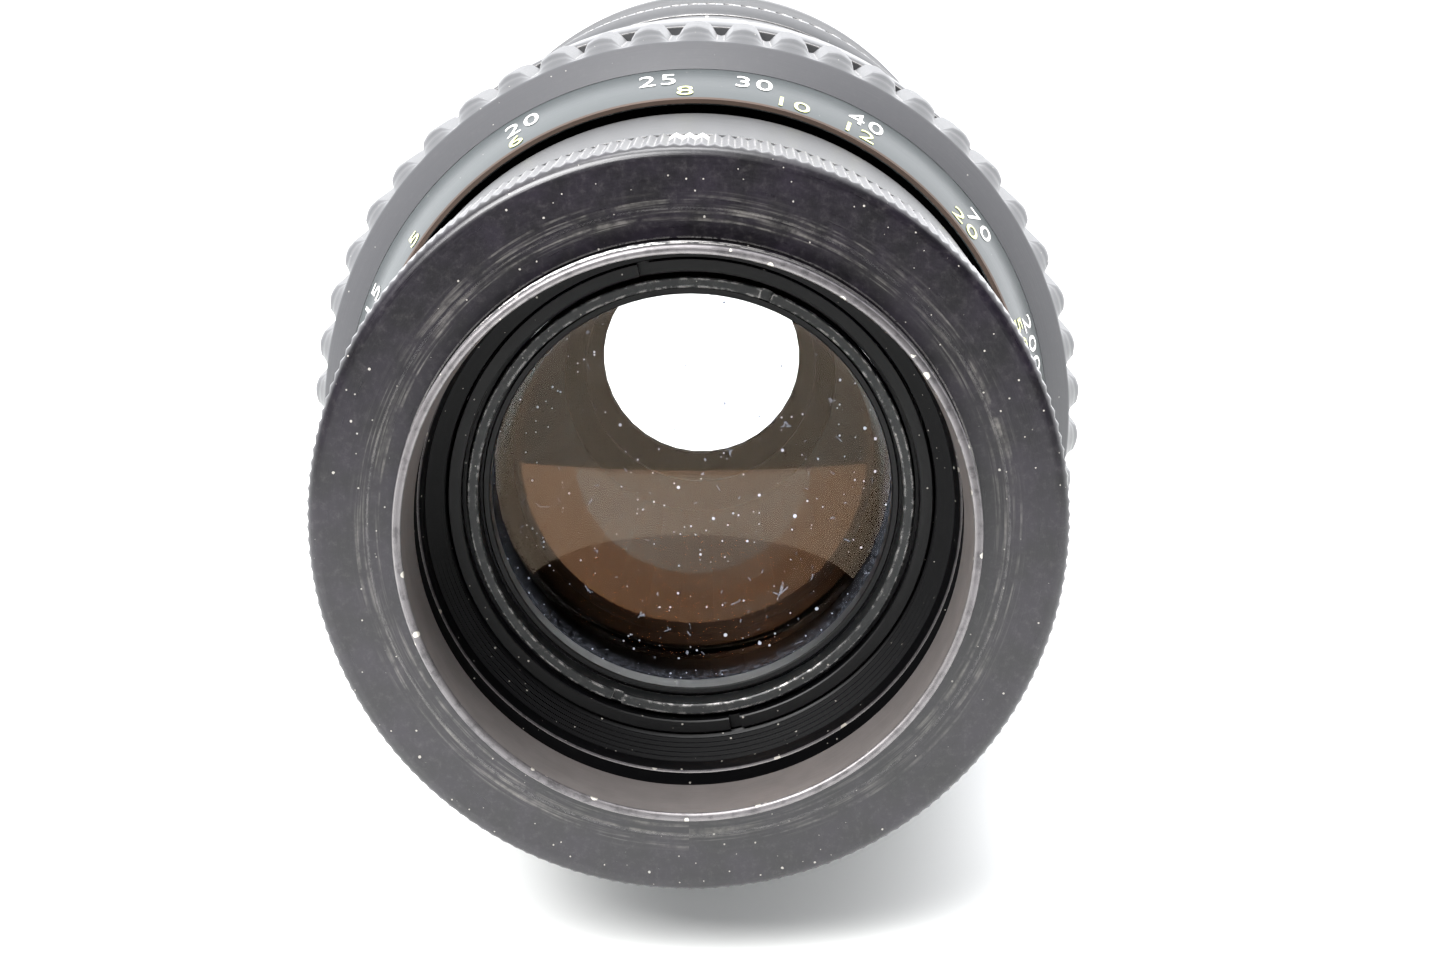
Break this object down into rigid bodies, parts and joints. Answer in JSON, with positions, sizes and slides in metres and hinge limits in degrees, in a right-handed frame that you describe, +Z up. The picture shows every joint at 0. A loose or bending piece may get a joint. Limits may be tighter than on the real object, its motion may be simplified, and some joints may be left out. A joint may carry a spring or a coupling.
{
  "type": "telephoto prime camera lens",
  "caption": "Manual telephoto prime lens lying on its side: screw-mount rear end, ribbed focusing ring that drives the front barrel out, and an iris worked by an aperture ring.",
  "frame": {"origin": "on the table under the middle of the lens: centre of the bounding box in X and Y, lowest point in Z", "axes": "+Y along the optical axis from the camera mount to the front rim, +Z up, +X to the right seen from the mount end"},
  "size_m": [0.0688, 0.1876, 0.0688],
  "materials": {
    "black_anodised": "black anodised, satin, dusty and worn on its edges",
    "worn_aluminium": "black anodised thread rubbed to bright metal at its end lip",
    "matt_black": "matt black anti-reflection finish",
    "coated_glass": "polished optical glass with an amber single coating",
    "brass": "turned brass",
    "steel": "blued spring steel and screw steel"
  },
  "bodies": {
    "rear_barrel": {"mount_ring": "black_anodised", "mount_spigot": "worn_aluminium", "rear_barrel": "black_anodised", "rear_baffle": "matt_black", "rear_bulkhead": "matt_black", "rear_lock_ring": "matt_black", "rear_cell": "black_anodised", "rear_retaining_ring": "matt_black", "rear_bezel": "matt_black", "rear_lens_outer": "coated_glass", "rear_spacer": "matt_black", "rear_lens_inner": "coated_glass"},
    "focus_ring": {"scale_sleeve": "black_anodised", "focus_grip": "black_anodised", "grip_screw_1": "steel", "grip_screw_2": "steel", "grip_screw_3": "steel", "focus_nut": "matt_black"},
    "front_barrel": {"front_barrel": "black_anodised", "inner_tube": "matt_black", "barrel_baffle": "matt_black", "filter_ring": "black_anodised", "guide_key_left": "brass", "guide_key_right": "brass", "front_cell": "black_anodised", "front_lens_inner": "coated_glass", "front_spacer": "matt_black", "front_lens_outer": "coated_glass", "front_retaining_ring": "matt_black", "front_name_ring": "matt_black", "iris_base": "matt_black"},
    "aperture_ring": {"aperture_ring": "black_anodised", "aperture_drive_pin": "steel", "iris_drive_ring": "matt_black"},
    "blade_1": {"iris_blade_1": "steel"},
    "blade_2": {"iris_blade_2": "steel"},
    "blade_3": {"iris_blade_3": "steel"},
    "blade_4": {"iris_blade_4": "steel"},
    "blade_5": {"iris_blade_5": "steel"},
    "blade_6": {"iris_blade_6": "steel"},
    "blade_7": {"iris_blade_7": "steel"},
    "blade_8": {"iris_blade_8": "steel"},
    "blade_9": {"iris_blade_9": "steel"},
    "blade_10": {"iris_blade_10": "steel"}
  },
  "joints": [
    {"name": "focus_turn", "type": "hinge", "parent": "rear_barrel", "child": "focus_ring", "pos_m": [0, -0.04025, 0.0344], "axis": [0, 1, 0], "range_deg": [-87, 69]},
    {"name": "barrel_extension", "type": "slide", "parent": "rear_barrel", "child": "front_barrel", "axis": [0, 1, 0], "range_m": [-0.0117, 0.0094]},
    {"name": "aperture_turn", "type": "hinge", "parent": "front_barrel", "child": "aperture_ring", "pos_m": [0, 0.05675, 0.0344], "axis": [0, 1, 0], "range_deg": [0, 60]},
    {"name": "blade_1_swing", "type": "hinge", "parent": "front_barrel", "child": "blade_1", "pos_m": [0.0276, 0.05275, 0.0344], "axis": [0, 1, 0], "range_deg": [0, 29.5]},
    {"name": "blade_2_swing", "type": "hinge", "parent": "front_barrel", "child": "blade_2", "pos_m": [0.02233, 0.05275, 0.01818], "axis": [0, 1, 0], "range_deg": [0, 29.5]},
    {"name": "blade_3_swing", "type": "hinge", "parent": "front_barrel", "child": "blade_3", "pos_m": [0.00853, 0.05275, 0.00815], "axis": [0, 1, 0], "range_deg": [0, 29.5]},
    {"name": "blade_4_swing", "type": "hinge", "parent": "front_barrel", "child": "blade_4", "pos_m": [-0.00853, 0.05275, 0.00815], "axis": [0, 1, 0], "range_deg": [0, 29.5]},
    {"name": "blade_5_swing", "type": "hinge", "parent": "front_barrel", "child": "blade_5", "pos_m": [-0.02233, 0.05275, 0.01818], "axis": [0, 1, 0], "range_deg": [0, 29.5]},
    {"name": "blade_6_swing", "type": "hinge", "parent": "front_barrel", "child": "blade_6", "pos_m": [-0.0276, 0.05275, 0.0344], "axis": [0, 1, 0], "range_deg": [0, 29.5]},
    {"name": "blade_7_swing", "type": "hinge", "parent": "front_barrel", "child": "blade_7", "pos_m": [-0.02233, 0.05275, 0.05062], "axis": [0, 1, 0], "range_deg": [0, 29.5]},
    {"name": "blade_8_swing", "type": "hinge", "parent": "front_barrel", "child": "blade_8", "pos_m": [-0.00853, 0.05275, 0.06065], "axis": [0, 1, 0], "range_deg": [0, 29.5]},
    {"name": "blade_9_swing", "type": "hinge", "parent": "front_barrel", "child": "blade_9", "pos_m": [0.00853, 0.05275, 0.06065], "axis": [0, 1, 0], "range_deg": [0, 29.5]},
    {"name": "blade_10_swing", "type": "hinge", "parent": "front_barrel", "child": "blade_10", "pos_m": [0.02233, 0.05275, 0.05062], "axis": [0, 1, 0], "range_deg": [0, 29.5]}
  ],
  "couplings": [
    {"joint": "barrel_extension", "follows": "focus_turn", "m_per_rad": 0.00769},
    {"joint": "blade_1_swing", "follows": "aperture_turn", "ratio": 0.49},
    {"joint": "blade_2_swing", "follows": "aperture_turn", "ratio": 0.49},
    {"joint": "blade_3_swing", "follows": "aperture_turn", "ratio": 0.49},
    {"joint": "blade_4_swing", "follows": "aperture_turn", "ratio": 0.49},
    {"joint": "blade_5_swing", "follows": "aperture_turn", "ratio": 0.49},
    {"joint": "blade_6_swing", "follows": "aperture_turn", "ratio": 0.49},
    {"joint": "blade_7_swing", "follows": "aperture_turn", "ratio": 0.49},
    {"joint": "blade_8_swing", "follows": "aperture_turn", "ratio": 0.49},
    {"joint": "blade_9_swing", "follows": "aperture_turn", "ratio": 0.49},
    {"joint": "blade_10_swing", "follows": "aperture_turn", "ratio": 0.49}
  ]
}
